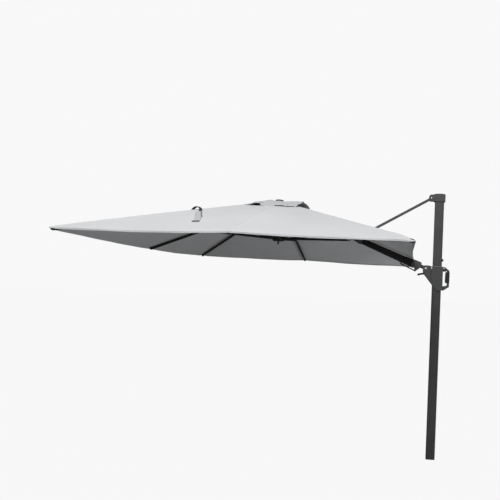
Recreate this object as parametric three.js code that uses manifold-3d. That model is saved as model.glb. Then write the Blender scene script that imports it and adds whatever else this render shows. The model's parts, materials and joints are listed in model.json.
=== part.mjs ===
// Cantilever parasol with a square canopy on a sliding carriage.
// Millimetres, +Z up. The origin is the centre of the mast's bottom face, the boom and
// canopy reach out along -X, and everything rigid lies about the plane y = 0.
import * as THREE from 'three';
import { mergeVertices } from 'three/addons/utils/BufferGeometryUtils.js';
import Module from 'manifold-3d';

const wasm = await Module();
wasm.setup();

// ---------------------------------------------------------------- driving dimensions
const GAP = 0.3; // air between pieces that touch on the real object

const PIN = { root: 8, bolt: 5, strut: 6, crown: 7, head: 3, bore: 0.4 }; // radii, head overhang, play
const MAST = { width: 98, depth: 62, wall: 3, corner: 12, height: 2812, foot: 40 };
const GROOVE = { x: 26, half: 2, depth: 1.2 };
const CAP = { front: -117, back: 61, top: 2896, halfDepth: 38, noseHalfDepth: 24, noseRear: -62 };
const STRUT_TOP = { x: -88, z: 2849 };
const STOP = { z: 2175, radius: 14, proud: 15 };

const ROOT = { x: -124, z: 2081 }; // pin that joins the boom's knuckle to the carriage
const CARRIAGE = {
  halfDepth: 41, noseHalfDepth: 26, front: -153, back: 62, top: 2098, noseTop: 2113, bottom: 1838, channel: 4.5,
};
const LINER = { lower: 1904, height: 34, flange: 9, overhang: 5 };
const SHELL_BOLT = { front: -60, frontZ: 2084, rear: 72, rearZ: 2086 };
const FORK_HALF_GAP = 13;
const HANDLE = { inner: 93, outer: 137, top: 2102, bottom: 1844, halfDepth: 13 };
const GRIP = { bottom: 1928, top: 2048, halfDepth: 18, bevel: 4 };
const TRIGGER = { x: 95, z: 1934, height: 100 };
const LEVER = { x: -134, z: 2022, reach: 67, pivot: 5, knob: 11 };

const BOOM = { slope: 21.75, width: 40, height: 60, wall: 3, corner: 8, start: 166, end: 1733 };
const KNUCKLE = { halfDepth: 30, coreHalfDepth: 23, end: 158 };
const ROOT_SLEEVE = { end: 252, halfDepth: 24, deepest: 45 };
const ROLL_SHAFT = { radius: 15, start: 84 };
const COLLAR = { at: 784, outer: 44, inner: 38.5, length: 44, pivot: 60 };
const BAIL = { pivot: [100, -70], bend: [255, -63], tip: [278, -57], radius: 6.5, slot: 8 };
const BRACKET = { at: 904, drop: 52 };
const CROWN_PIVOT_DROP = 105; // below the boom's axis, square to it

const CROWN = { x: -1780, radius: 78, bottom: 2714, top: 2742, hingeRadius: 65, hingeZ: 2730 };
const FINIAL = { radius: 45, bottom: 2770, top: 2796, stem: 6 };
const VENT = { half: 310, centreZ: 2766, shoulder: 160, shoulderZ: 2750, edgeZ: 2690, lip: 12, sheet: 3 };
const RUNNER = { radius: 64, core: 40, slot: 6.8, bottom: 2332, top: 2382, pivotRadius: 56, pivotZ: 2360 };
const KNOB = { radius: 12, z: 2309 };

const RIB = { width: 18, depth: 28, wall: 2, tipInset: 18, belowFabric: 21 };
const STRETCHER = { width: 12, depth: 24, wall: 2, offset: 18 };
const FOLDED_REACH = 1678; // rib hinge to runner pivot when the ribs hang straight down

const CANOPY = { half: 1500, apexZ: 2780, rimZ: 2238, hem: 18, sheet: 3, opening: 140 };
const EDGE_SCOOP = 17; // the edge beside the mast is cut inwards between its tips
const STRUT_OPENING = { from: -885, to: -790, halfWidth: 38 };
const BOOM_NOTCH = 24; // half the gap in the hem where the boom leaves the canopy

// each rib's direction in degrees from the mast side, how far its tip stands above the rim, and how
// much further out than the plain square the cover pulls it
const TIPS = {
  A: { angle: 225, lift: 3, extra: 15 },
  B: { angle: 315, lift: -14 },
  C: { angle: 43.9, lift: -43, extra: 83 },
  D: { angle: 135.8, lift: 21, extra: 56 },
  N: { angle: 270, lift: 12 },
  F: { angle: 90, lift: -3 },
  L: { angle: 180, lift: -21 },
  R: { angle: 0, lift: -48, extra: 18 },
};
const ROUND_THE_RIM = ['R', 'C', 'F', 'D', 'L', 'A', 'N', 'B'];

// ---------------------------------------------------------------- materials
function finish(name, color, roughness, metalness) {
  return new THREE.MeshStandardMaterial({ name, color, roughness, metalness });
}
const anthracite = finish('anthracite_powder_coat', 0x46484b, 0.55, 0.35);
const blackMetal = finish('black_powder_coat', 0x1d1e20, 0.6, 0.3);
const casting = finish('anthracite_casting', 0x404246, 0.6, 0.25);
const blackPlastic = finish('black_plastic', 0x18191b, 0.65, 0.0);
const greyPlastic = finish('grey_plastic', 0x55585c, 0.6, 0.0);
const steel = finish('bright_steel', 0xb9bcc0, 0.3, 0.9);
const fabric = finish('light_grey_fabric', 0xd5d6d8, 0.9, 0.0);

// ---------------------------------------------------------------- solids
const radians = THREE.MathUtils.degToRad;

function solid(geometry) {
  const bare = geometry.index ? geometry.clone() : geometry;
  bare.deleteAttribute('normal');
  bare.deleteAttribute('uv');
  const merged = mergeVertices(bare, 1e-4);
  return new wasm.Manifold(new wasm.Mesh({
    numProp: 3,
    vertProperties: new Float32Array(merged.attributes.position.array),
    triVerts: new Uint32Array(merged.index.array),
  }));
}

function geometryOf(manifold) {
  const mesh = manifold.getMesh();
  const geometry = new THREE.BufferGeometry();
  geometry.setAttribute('position', new THREE.BufferAttribute(new Float32Array(mesh.vertProperties), 3));
  geometry.setIndex(new THREE.BufferAttribute(new Uint32Array(mesh.triVerts), 1));
  return geometry;
}

function join(first, ...others) {
  return others.reduce((whole, piece) => whole.add(piece), first);
}

function cut(first, ...tools) {
  return tools.reduce((whole, tool) => whole.subtract(tool), first);
}

function extruded(shape, depth, curveSegments) {
  return new THREE.ExtrudeGeometry(shape, { depth, bevelEnabled: false, curveSegments });
}

function shapeThrough(points) {
  return new THREE.Shape(points.map(([x, z]) => new THREE.Vector2(x, z)));
}

function box(x0, x1, y0, y1, z0, z1) {
  const geometry = new THREE.BoxGeometry(x1 - x0, y1 - y0, z1 - z0);
  geometry.translate((x0 + x1) / 2, (y0 + y1) / 2, (z0 + z1) / 2);
  return solid(geometry);
}

function rodAlongY(x, z, radius, y0, y1, sides = 16) {
  const geometry = new THREE.CylinderGeometry(radius, radius, y1 - y0, sides);
  geometry.translate(x, (y0 + y1) / 2, z);
  return solid(geometry);
}

function rodAlongX(x0, x1, radius, z = 0, sides = 24) {
  const geometry = new THREE.CylinderGeometry(radius, radius, x1 - x0, sides);
  geometry.rotateZ(Math.PI / 2);
  geometry.translate((x0 + x1) / 2, 0, z);
  return solid(geometry);
}

// a flat plate whose outline is drawn in x and z, between two y planes
function plate(outline, y0, y1) {
  const shape = outline instanceof THREE.Shape ? outline : shapeThrough(outline);
  const geometry = extruded(shape, y1 - y0, 5);
  geometry.rotateX(Math.PI / 2);
  geometry.translate(0, y1, 0);
  return solid(geometry);
}

// a pin across the machine with a head outside each face
function headedPin(x, z, radius, face, headDepth) {
  return join(
    rodAlongY(x, z, radius, -face, face),
    rodAlongY(x, z, radius + PIN.head, face, face + headDepth),
    rodAlongY(x, z, radius + PIN.head, -face - headDepth, -face),
  );
}

function boreAlongY(x, z, radius, reach = 30) {
  return rodAlongY(x, z, radius + PIN.bore, -reach, reach);
}

// an eye of the given radius round (x, z), tapering into a bar that ends at xEnd
function eyePlate(x, z, radius, xEnd, halfBar, y0, y1) {
  return join(
    rodAlongY(x, z, radius, y0, y1, 24),
    box(Math.min(x, xEnd), Math.max(x, xEnd), y0, y1, z - halfBar, z + halfBar),
  );
}

function roundedRectangle(width, height, corner) {
  const w = width / 2;
  const h = height / 2;
  const shape = new THREE.Shape();
  shape.moveTo(-w + corner, -h);
  shape.lineTo(w - corner, -h);
  shape.absarc(w - corner, -h + corner, corner, -Math.PI / 2, 0);
  shape.lineTo(w, h - corner);
  shape.absarc(w - corner, h - corner, corner, 0, Math.PI / 2);
  shape.lineTo(-w + corner, h);
  shape.absarc(-w + corner, h - corner, corner, Math.PI / 2, Math.PI);
  shape.lineTo(-w, -h + corner);
  shape.absarc(-w + corner, -h + corner, corner, Math.PI, Math.PI * 1.5);
  return shape;
}

function uprightPrism(width, depth, corner, z0, z1, segments = 4) {
  const geometry = extruded(roundedRectangle(width, depth, corner), z1 - z0, segments);
  geometry.translate(0, 0, z0);
  return solid(geometry);
}

// a bar along X, width across Y and height in Z
function barAlongX(x0, x1, width, height, corner, segments = 3) {
  const geometry = extruded(roundedRectangle(height, width, corner), x1 - x0, segments);
  geometry.rotateY(Math.PI / 2);
  geometry.translate(x0, 0, 0);
  return solid(geometry);
}

function turned(profile, sides = 28) {
  const geometry = new THREE.LatheGeometry(profile.map(([r, z]) => new THREE.Vector2(r, z)), sides);
  geometry.rotateX(Math.PI / 2);
  return solid(geometry);
}

// A closed sheet between two grids of points, row by row. Columns run round a ring if looped.
function sheetBetween(outer, inner, looped = false) {
  const rows = outer.length;
  const columns = outer[0].length;
  const positions = [...outer.flat(), ...inner.flat()].flatMap((p) => [p.x, p.y, p.z]);
  const index = [];
  const at = (layer, row, column) => (layer * rows + row) * columns + (column % columns);
  const quad = (a, b, c, d) => index.push(a, b, c, a, c, d);
  const spans = looped ? columns : columns - 1;
  for (let row = 0; row < rows - 1; row += 1) {
    for (let column = 0; column < spans; column += 1) {
      quad(at(0, row, column), at(0, row + 1, column), at(0, row + 1, column + 1), at(0, row, column + 1));
      quad(at(1, row, column), at(1, row, column + 1), at(1, row + 1, column + 1), at(1, row + 1, column));
    }
    if (!looped) {
      const last = columns - 1;
      quad(at(0, row, 0), at(1, row, 0), at(1, row + 1, 0), at(0, row + 1, 0));
      quad(at(0, row, last), at(0, row + 1, last), at(1, row + 1, last), at(1, row, last));
    }
  }
  for (let column = 0; column < spans; column += 1) {
    quad(at(0, 0, column), at(0, 0, column + 1), at(1, 0, column + 1), at(1, 0, column));
    const end = rows - 1;
    quad(at(0, end, column), at(1, end, column), at(1, end, column + 1), at(0, end, column + 1));
  }
  const geometry = new THREE.BufferGeometry();
  geometry.setAttribute('position', new THREE.Float32BufferAttribute(positions, 3));
  geometry.setIndex(index);
  return solid(geometry);
}

// ---------------------------------------------------------------- assembly helpers
const group = new THREE.Group();

function add(parent, name, manifold, material) {
  const mesh = new THREE.Mesh(geometryOf(manifold), material);
  mesh.name = name;
  parent.add(mesh);
  return mesh;
}

// Frame of the boom: its origin is the root pin, -X runs up the boom and +Z stands square to it.
const boomFrame = new THREE.Group();
boomFrame.position.set(ROOT.x, 0, ROOT.z);
boomFrame.rotation.y = radians(BOOM.slope);
group.add(boomFrame);

function boomPoint(along, above) {
  const turn = radians(BOOM.slope);
  return new THREE.Vector2(
    ROOT.x - along * Math.cos(turn) + above * Math.sin(turn),
    ROOT.z + along * Math.sin(turn) + above * Math.cos(turn),
  );
}

const crownFrame = new THREE.Group();
crownFrame.position.set(CROWN.x, 0, 0);
group.add(crownFrame);

const crownPivotAlong = (ROOT.x - CROWN.x) / Math.cos(radians(BOOM.slope))
  - CROWN_PIVOT_DROP * Math.tan(radians(BOOM.slope));
const crownPivotZ = boomPoint(crownPivotAlong, -CROWN_PIVOT_DROP).y;

// ---------------------------------------------------------------- mast
function buildMast() {
  const inside = [MAST.width - 2 * MAST.wall, MAST.depth - 2 * MAST.wall, MAST.corner - MAST.wall];
  const grooves = [-GROOVE.x, GROOVE.x].flatMap((x) => [-1, 1].map((side) => {
    const face = side * (MAST.depth / 2);
    const { half, depth } = GROOVE;
    return box(x - half, x + half, face - depth, face + depth, -1, MAST.height + 1);
  }));
  add(group, 'mast_tube', cut(
    uprightPrism(MAST.width, MAST.depth, MAST.corner, 0, MAST.height),
    uprightPrism(...inside, -1, MAST.height + 1),
    ...grooves,
  ), anthracite);
  const plug = uprightPrism(inside[0] - 2 * GAP, inside[1] - 2 * GAP, inside[2], 0, MAST.foot);
  add(group, 'mast_foot', plug, blackPlastic);
  const { radius, proud } = STOP;
  const stop = turned([[0, 0], [radius, 0], [radius, proud - 2], [radius - 2, proud], [0, proud]], 20);
  const stopMesh = add(group, 'mast_stop', stop, blackPlastic);
  stopMesh.rotation.y = Math.PI / 2;
  stopMesh.position.set(MAST.width / 2 + GAP, 0, STOP.z);
}

function buildCap() {
  const seat = MAST.height + GAP;
  const head = plate([[-60, seat], [CAP.back, seat], [CAP.back, CAP.top - 14], [CAP.back - 8, CAP.top - 4],
    [10, CAP.top], [-30, CAP.top - 1], [-60, CAP.top - 5]], -CAP.halfDepth, CAP.halfDepth);
  const nose = plate([
    [-50, seat + 4], [CAP.front + 14, seat + 6], [CAP.front + 3, seat + 14], [CAP.front, seat + 30],
    [CAP.front + 4, CAP.top - 22], [CAP.front + 18, CAP.top - 10], [-50, CAP.top - 5],
  ], -CAP.noseHalfDepth, CAP.noseHalfDepth);
  const bore = 2 * MAST.wall + 1;
  const spigot = uprightPrism(MAST.width - bore, MAST.depth - bore, 8, seat - 30, seat + 2);
  const slot = box(CAP.front - 5, CAP.noseRear, -10.5, 10.5, seat - 5, CAP.top + 5);
  add(group, 'mast_cap', cut(join(head, nose, spigot), slot), casting);
  for (const [name, side] of [['strut_pin_head_near', -1], ['strut_pin_head_far', 1]]) {
    const inner = side * (CAP.noseHalfDepth + GAP);
    const outer = side * (CAP.noseHalfDepth + 4);
    const head = rodAlongY(STRUT_TOP.x, STRUT_TOP.z, 7, Math.min(inner, outer), Math.max(inner, outer));
    add(group, name, head, steel);
  }
}

// ---------------------------------------------------------------- carriage
function carriageShell(side) {
  const { halfDepth, noseHalfDepth, front, back, top, noseTop, bottom, channel } = CARRIAGE;
  const body = new THREE.Shape();
  body.moveTo(-60, top);
  body.lineTo(back, top);
  body.lineTo(back, bottom + 30);
  body.quadraticCurveTo(back - 4, bottom, 30, bottom);
  body.quadraticCurveTo(-16, bottom + 2, -45, 1896);
  body.lineTo(-60, 1916);
  const nose = new THREE.Shape();
  nose.moveTo(-50, top - 1);
  nose.lineTo(-84, noseTop);
  nose.lineTo(front + 18, noseTop);
  nose.quadraticCurveTo(front + 1, noseTop - 2, front, noseTop - 22);
  nose.lineTo(front, 2040);
  nose.lineTo(front + 14, 2012);
  nose.lineTo(-50, 1903);
  const clear = MAST.width + 2 * channel;
  const clearDepth = MAST.depth + 2 * channel;
  const whole = join(
    plate(body, GAP / 2, halfDepth),
    plate(nose, GAP / 2, noseHalfDepth),
    box(back - 2, back + 22, FORK_HALF_GAP + GAP, noseHalfDepth, 2066, top - 1),
    box(back - 2, back + 14, FORK_HALF_GAP + GAP, noseHalfDepth, 1850, 1888),
  );
  const near = cut(
    whole,
    uprightPrism(clear, clearDepth, MAST.corner + 4, 1800, top + 1),
    box(-56, back + 30, -1, 60, top, top + 30),
    box(front - 5, -98, -1, FORK_HALF_GAP, 1985, 2125),
    boreAlongY(ROOT.x, ROOT.z, PIN.root, 60),
    boreAlongY(LEVER.x, LEVER.z, LEVER.pivot, 60),
    boreAlongY(SHELL_BOLT.front, SHELL_BOLT.frontZ, PIN.bolt, 60),
    boreAlongY(SHELL_BOLT.rear, SHELL_BOLT.rearZ, PIN.bolt, 60),
  );
  return side > 0 ? near : near.mirror([0, 1, 0]);
}

function buildCarriage() {
  add(group, 'carriage_shell_near', carriageShell(-1), casting);
  add(group, 'carriage_shell_far', carriageShell(1), casting);
  const outside = 2 * CARRIAGE.channel - 2 * GAP;
  const sleeve = (z) => uprightPrism(MAST.width + outside, MAST.depth + outside, 15, z, z + LINER.height);
  const passage = uprightPrism(MAST.width + 2 * GAP, MAST.depth + 2 * GAP, MAST.corner, 1800, 2200);
  const flangeDepth = 2 * CARRIAGE.halfDepth + LINER.overhang;
  const flangeBottom = CARRIAGE.top + GAP;
  const flange = uprightPrism(MAST.width + 14, flangeDepth, 14, flangeBottom, flangeBottom + LINER.flange);
  const upper = join(sleeve(flangeBottom + 1 - LINER.height), flange);
  add(group, 'glide_liner_upper', cut(upper, passage), greyPlastic);
  add(group, 'glide_liner_lower', cut(sleeve(LINER.lower), passage), greyPlastic);
  const nose = CARRIAGE.noseHalfDepth + GAP;
  const side = CARRIAGE.halfDepth + GAP;
  const { front, frontZ, rear, rearZ } = SHELL_BOLT;
  add(group, 'root_pin', headedPin(ROOT.x, ROOT.z, PIN.root, nose, 4), steel);
  add(group, 'shell_bolt_front', headedPin(front, frontZ, PIN.bolt, side, 3), steel);
  add(group, 'shell_bolt_rear', headedPin(rear, rearZ, PIN.bolt, nose, 3), steel);
}

function buildHandle() {
  const { inner, outer, top, bottom, halfDepth } = HANDLE;
  const start = CARRIAGE.back + 1;
  const core = { inner: inner + 16, outer: outer - 2 }; // the frame inside the grip
  const frame = new THREE.Shape();
  frame.moveTo(start, top);
  frame.lineTo(start + 22, top);
  frame.lineTo(core.outer - 8, top - 34);
  frame.quadraticCurveTo(core.outer, top - 38, core.outer, top - 48);
  frame.lineTo(core.outer, bottom + 50);
  frame.quadraticCurveTo(core.outer, bottom + 40, core.outer - 8, bottom + 35);
  frame.lineTo(start + 10, bottom);
  frame.lineTo(start, bottom);
  frame.lineTo(start, bottom + 48);
  frame.lineTo(inner + 4, bottom + 52);
  frame.lineTo(core.inner + 4, bottom + 62);
  frame.lineTo(core.inner, bottom + 74);
  frame.lineTo(core.inner, top - 44);
  frame.lineTo(inner, top - 50);
  frame.lineTo(start, top - 50);
  add(group, 'handle_frame', cut(
    plate(frame, -halfDepth, halfDepth),
    boreAlongY(SHELL_BOLT.rear, SHELL_BOLT.rearZ, PIN.bolt),
  ), casting);
  const { bevel } = GRIP;
  const sleeve = plate([
    [inner, GRIP.bottom + bevel], [inner + bevel, GRIP.bottom], [outer - bevel, GRIP.bottom],
    [outer, GRIP.bottom + bevel], [outer, GRIP.top - bevel], [outer - bevel, GRIP.top],
    [inner + bevel, GRIP.top], [inner, GRIP.top - bevel],
  ], -GRIP.halfDepth, GRIP.halfDepth);
  const passage = halfDepth + 0.5;
  add(group, 'handle_grip', cut(
    sleeve,
    box(core.inner - 0.5, core.outer + 0.5, -passage, passage, GRIP.bottom - 5, GRIP.top + 5),
    box(inner - 5, core.inner, -9.5, 9.5, GRIP.bottom + 4, GRIP.top - 8),
  ), blackPlastic);
  const { x, z, height } = TRIGGER;
  const paddle = new THREE.Shape();
  paddle.moveTo(x - 6, z - 1);
  paddle.lineTo(x + 4, z - 1);
  paddle.lineTo(x + 4, z + height - 8);
  paddle.quadraticCurveTo(x + 3, z + height, x - 3, z + height);
  paddle.quadraticCurveTo(x - 8, z + height / 2, x - 6, z - 1);
  add(group, 'release_trigger', plate(paddle, -8, 8), greyPlastic);
}

function buildLever() {
  const { x, z, reach, knob } = LEVER;
  const arm = new THREE.Shape();
  arm.moveTo(x + 8, z + 8);
  arm.lineTo(x - 10, z + 10);
  arm.quadraticCurveTo(x - 40, z + 8, x - reach, z + 1);
  arm.lineTo(x - reach, z - 20);
  arm.quadraticCurveTo(x - 36, z - 12, x - 8, z - 9);
  arm.lineTo(x + 8, z - 8);
  add(group, 'tilt_lever', join(
    plate(arm, -7, 7),
    rodAlongY(x, z, 10, -8, 8),
    rodAlongY(x, z, LEVER.pivot, -24, 24),
    rodAlongY(x - reach, z - 11, knob, -12, 12),
  ), blackPlastic);
}

// ---------------------------------------------------------------- boom, in its own frame
// the section of a piece that slides into the boom tube
function boomInside(clearance) {
  const off = 2 * (BOOM.wall + clearance);
  return [BOOM.width - off, BOOM.height - off, BOOM.corner - BOOM.wall];
}

function buildKnuckle() {
  const { halfDepth, coreHalfDepth, end } = KNUCKLE;
  const [bailX, bailZ] = [-BAIL.pivot[0], BAIL.pivot[1]];
  const cheeks = plate([
    [-66, 40], [-147, 40], [-128, -12], [-110, -58], [-106, -78], [-94, -78], [-60, -22], [-54, 10],
  ], -halfDepth, halfDepth);
  const core = plate([
    [-66, 36], [-end, 36], [-end, -44], [-100, -44], [-70, -10],
  ], -coreHalfDepth, coreHalfDepth);
  const tongue = join(rodAlongY(0, 0, 22, -12, 12, 28), box(-80, 0, -12, 12, -18, 20));
  add(boomFrame, 'knuckle', cut(
    join(cheeks, core, tongue),
    boreAlongY(0, 0, PIN.root + 0.2),
    rodAlongX(-end - 12, -ROLL_SHAFT.start + 3, ROLL_SHAFT.radius + 0.5),
    box(bailX - 25, bailX + 20, -BAIL.slot, BAIL.slot, bailZ - 20, bailZ + 13),
  ), casting);

  const sleeveEnd = -ROOT_SLEEVE.end;
  const face = -end - GAP;
  const { deepest } = ROOT_SLEEVE;
  const sleeve = plate([
    [face, 35], [sleeveEnd, 33], [sleeveEnd, -33], [face - 30, -deepest], [face, -deepest],
  ], -ROOT_SLEEVE.halfDepth, ROOT_SLEEVE.halfDepth);
  add(boomFrame, 'boom_root', join(
    cut(sleeve, barAlongX(
      sleeveEnd - 1,
      -BOOM.start + GAP,
      BOOM.width + 2 * GAP,
      BOOM.height + 2 * GAP,
      BOOM.corner + GAP,
    )),
    rodAlongX(face - 1, -ROLL_SHAFT.start, ROLL_SHAFT.radius),
    barAlongX(-BOOM.start - 60, -BOOM.start + 1, ...boomInside(GAP)),
  ), blackMetal);

  const stations = [BAIL.pivot, BAIL.bend, BAIL.tip];
  const points = stations.map(([along, above]) => new THREE.Vector3(-along, 0, above));
  const rods = [[points[0], points[1]], [points[1], points[2]]].map(([from, to]) => {
    const geometry = new THREE.CylinderGeometry(BAIL.radius, BAIL.radius, from.distanceTo(to), 12);
    geometry.rotateX(Math.PI / 2);
    geometry.lookAt(to.clone().sub(from));
    geometry.translate((from.x + to.x) / 2, 0, (from.z + to.z) / 2);
    return solid(geometry);
  });
  const ball = (p) => solid(new THREE.SphereGeometry(BAIL.radius * 1.05, 12, 8).translate(p.x, p.y, p.z));
  const hub = rodAlongY(bailX, bailZ, BAIL.radius + 1, -BAIL.slot + 1, BAIL.slot - 1);
  add(boomFrame, 'roll_bail', join(hub, ...rods, ball(points[1]), ball(points[2])), blackMetal);
}

function buildBoom() {
  add(boomFrame, 'boom_tube', cut(
    barAlongX(-BOOM.end, -BOOM.start, BOOM.width, BOOM.height, BOOM.corner),
    barAlongX(-BOOM.end - 1, -BOOM.start + 1, ...boomInside(0)),
  ), blackMetal);
  const half = COLLAR.length / 2;
  const ringX = [-COLLAR.at - half, -COLLAR.at + half];
  add(boomFrame, 'bearing_ring', cut(
    rodAlongX(...ringX, COLLAR.inner - 0.5, 0, 32),
    barAlongX(ringX[0] - 1, ringX[1] + 1, BOOM.width + 2 * GAP, BOOM.height + 2 * GAP, BOOM.corner),
  ), greyPlastic);
  const lug = (y0, y1) => plate([[-20, 36], [20, 36], [13, COLLAR.pivot + 4], [6, COLLAR.pivot + 12],
    [-6, COLLAR.pivot + 12], [-13, COLLAR.pivot + 4]].map(([x, z]) => [x - COLLAR.at, z]), y0, y1);
  add(boomFrame, 'boom_collar', cut(
    join(rodAlongX(...ringX, COLLAR.outer, 0, 32), lug(-15, -7.5), lug(7.5, 15)),
    rodAlongX(ringX[0] - 1, ringX[1] + 1, COLLAR.inner, 0, 32),
    boreAlongY(-COLLAR.at, COLLAR.pivot, PIN.strut),
  ), casting);
  add(boomFrame, 'strut_lower_pin', rodAlongY(-COLLAR.at, COLLAR.pivot, PIN.strut, -18, 18), steel);

  const x = -crownPivotAlong;
  const z = -CROWN_PIVOT_DROP;
  const plug = -BOOM.end - 0.5;
  const cheek = (y0, y1) => plate([[plug, 22], [x - 6, 22], [x - 15, z + 4], [x - 12, z - 12], [x, z - 17],
    [x + 12, z - 12], [x + 16, z + 2], [plug, -34]], y0, y1);
  add(boomFrame, 'boom_fork', cut(
    join(
      barAlongX(plug - 1.5, plug + 55.5, ...boomInside(GAP)),
      box(plug - 6.5, plug, -19.5, 19.5, -28, 22),
      cheek(-19.5, -12.5),
      cheek(12.5, 19.5),
    ),
    boreAlongY(x, z, PIN.crown),
  ), casting);

  const at = -BRACKET.at;
  const under = -BOOM.height / 2 - GAP;
  const low = -BRACKET.drop - 12;
  const ear = (y0, y1) => plate([[at - 22, under - 2], [at - 11, low + 6], [at - 5, low],
    [at + 5, low], [at + 11, low + 6], [at + 22, under - 2]], y0, y1);
  add(boomFrame, 'stretcher_bracket', cut(
    join(box(at - 34, at + 34, -14, 14, under - 4.5, under), ear(-13.5, -7.5), ear(7.5, 13.5)),
    boreAlongY(at, -BRACKET.drop, PIN.bolt),
  ), casting);
  add(boomFrame, 'bracket_pin', rodAlongY(at, -BRACKET.drop, PIN.bolt, -16, 16), steel);
}

// ---------------------------------------------------------------- strut, along +X from its lower pin
function buildStrut() {
  const foot = boomPoint(COLLAR.at, COLLAR.pivot);
  const rise = Math.atan2(STRUT_TOP.z - foot.y, STRUT_TOP.x - foot.x);
  const length = Math.hypot(STRUT_TOP.z - foot.y, STRUT_TOP.x - foot.x);
  const frame = new THREE.Group();
  frame.position.set(foot.x, 0, foot.y);
  frame.rotation.y = -rise;
  group.add(frame);
  add(frame, 'strut_tube', cut(
    barAlongX(26, length - 26, 18, 28, 6),
    barAlongX(25, length - 25, 13, 23, 3.5),
  ), anthracite);
  add(frame, 'strut_lower_end', cut(
    join(
      eyePlate(0, 0, 12, 21, 9, -6.8, 6.8),
      box(20, 25.7, -9, 9, -14, 14),
      barAlongX(25, 60, 12.4, 22.4, 3),
    ),
    boreAlongY(0, 0, PIN.strut),
  ), casting);
  add(frame, 'strut_upper_end', cut(
    join(
      eyePlate(length, 0, 11, length - 21, 9, -9, 9),
      box(length - 25.7, length - 20, -9, 9, -14, 14),
      barAlongX(length - 60, length - 25, 12.4, 22.4, 3),
    ),
    boreAlongY(length, 0, PIN.strut),
  ), casting);
  add(frame, 'strut_top_pin', rodAlongY(length, 0, PIN.strut, -10, 10), steel);
}

// ---------------------------------------------------------------- crown and runner
function turnedAbout(manifold, degrees) {
  return manifold.rotate([0, 0, degrees]);
}

function buildCrown() {
  const { radius, bottom, top } = CROWN;
  const disc = turned([[0, bottom], [radius, bottom], [radius, top], [0, top]], 48);
  const bossTop = VENT.centreZ - 6;
  const threaded = FINIAL.stem + PIN.bore;
  const boss = turned([[0, top - 2], [24, top - 2], [22, bossTop], [0, bossTop]]);
  const post = plate([[-14, bottom + 2], [-14, crownPivotZ], [-10, crownPivotZ - 11], [0, crownPivotZ - 16],
    [10, crownPivotZ - 11], [14, crownPivotZ], [14, bottom + 2]], -11.7, 11.7);
  const slots = Object.entries(TIPS).filter(([name]) => name !== 'R').map(([, tip]) => {
    const notch = box(50, 100, -RIB.width / 2 - 1, RIB.width / 2 + 1, bottom - 5, top + 5);
    return turnedAbout(notch, tip.angle);
  });
  add(crownFrame, 'crown_hub', cut(
    join(disc, boss, post),
    ...slots,
    box(14.3, 100, -22, 22, bottom - 5, top + 5),
    boreAlongY(0, crownPivotZ, PIN.crown),
    turned([[0, top - 12], [threaded, top - 12], [threaded, top + 30], [0, top + 30]]),
  ), casting);
  add(crownFrame, 'crown_pin', headedPin(0, crownPivotZ, PIN.crown, 20, 3), steel);
  const rim = FINIAL.radius;
  const low = FINIAL.bottom;
  const high = FINIAL.top;
  add(crownFrame, 'finial', turned([
    [0, top - 11], [FINIAL.stem, top - 11], [FINIAL.stem, low], [rim - 4, low], [rim, low + 4],
    [rim, high - 8], [rim - 6, high - 2], [rim - 22, high], [0, high],
  ], 36), blackPlastic);
}

function squareRing(half, count) {
  const points = [];
  for (let i = 0; i < 4 * count; i += 1) {
    const side = Math.floor(i / count);
    const p = new THREE.Vector2(half, half * (2 * (i % count) / count - 1));
    points.push(p.rotateAround(new THREE.Vector2(), side * Math.PI / 2));
  }
  return points;
}

function buildVent() {
  const { half, centreZ, shoulder, shoulderZ, edgeZ, lip, sheet } = VENT;
  const ring = (size, z) => squareRing(size, 4).map((p) => new THREE.Vector3(p.x, p.y, z));
  add(crownFrame, 'vent_flap', sheetBetween(
    [ring(9, centreZ), ring(shoulder, shoulderZ), ring(half, edgeZ), ring(half, edgeZ - lip)],
    [ring(9, centreZ - sheet), ring(shoulder, shoulderZ - sheet), ring(half - sheet, edgeZ - sheet),
      ring(half - sheet, edgeZ - lip)],
    true,
  ), fabric);
}

function buildRunner() {
  const { radius, bottom, top, core } = RUNNER;
  const body = turned([
    [0, bottom], [radius - 12, bottom], [radius, bottom + 10], [radius, top - 6], [radius - 6, top], [0, top],
  ], 48);
  const slots = Object.entries(TIPS).map(([name, tip]) => {
    const offset = name === 'R' ? 0 : STRETCHER.offset;
    const slot = box(core, 90, offset - RUNNER.slot, offset + RUNNER.slot, bottom - 5, top + 5);
    return turnedAbout(slot, tip.angle);
  });
  add(crownFrame, 'runner_hub', cut(body, ...slots), blackPlastic);
  const neck = bottom - GAP;
  const ball = [];
  for (let i = 0; i <= 8; i += 1) {
    const turn = Math.PI * (i / 8) * 0.8;
    ball.push([KNOB.radius * Math.sin(turn), KNOB.z - KNOB.radius * Math.cos(turn)]);
  }
  add(crownFrame, 'runner_knob', turned([...ball, [7, KNOB.z + 14], [9, neck], [0, neck]], 24), blackPlastic);
}

// ---------------------------------------------------------------- ribs and stretchers
function rimPoint(name) {
  const { angle, lift, extra = 0 } = TIPS[name];
  const turn = radians(angle);
  const reach = CANOPY.half / Math.max(Math.abs(Math.cos(turn)), Math.abs(Math.sin(turn))) + extra;
  return new THREE.Vector3(reach * Math.cos(turn), reach * Math.sin(turn), CANOPY.rimZ + lift);
}

function ribLine(name) {
  const tip = rimPoint(name);
  const run = Math.hypot(tip.x, tip.y) - CROWN.hingeRadius;
  const fall = CROWN.hingeZ - (tip.z - RIB.belowFabric);
  return { slope: Math.atan2(fall, run), length: Math.hypot(run, fall) };
}

function stretcherSpan(slope, attach) {
  const run = CROWN.hingeRadius + attach * Math.cos(slope) - RUNNER.pivotRadius;
  const rise = CROWN.hingeZ - attach * Math.sin(slope) - RUNNER.pivotZ;
  return { length: Math.hypot(run, rise), rise: Math.atan2(rise, run) };
}

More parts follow.
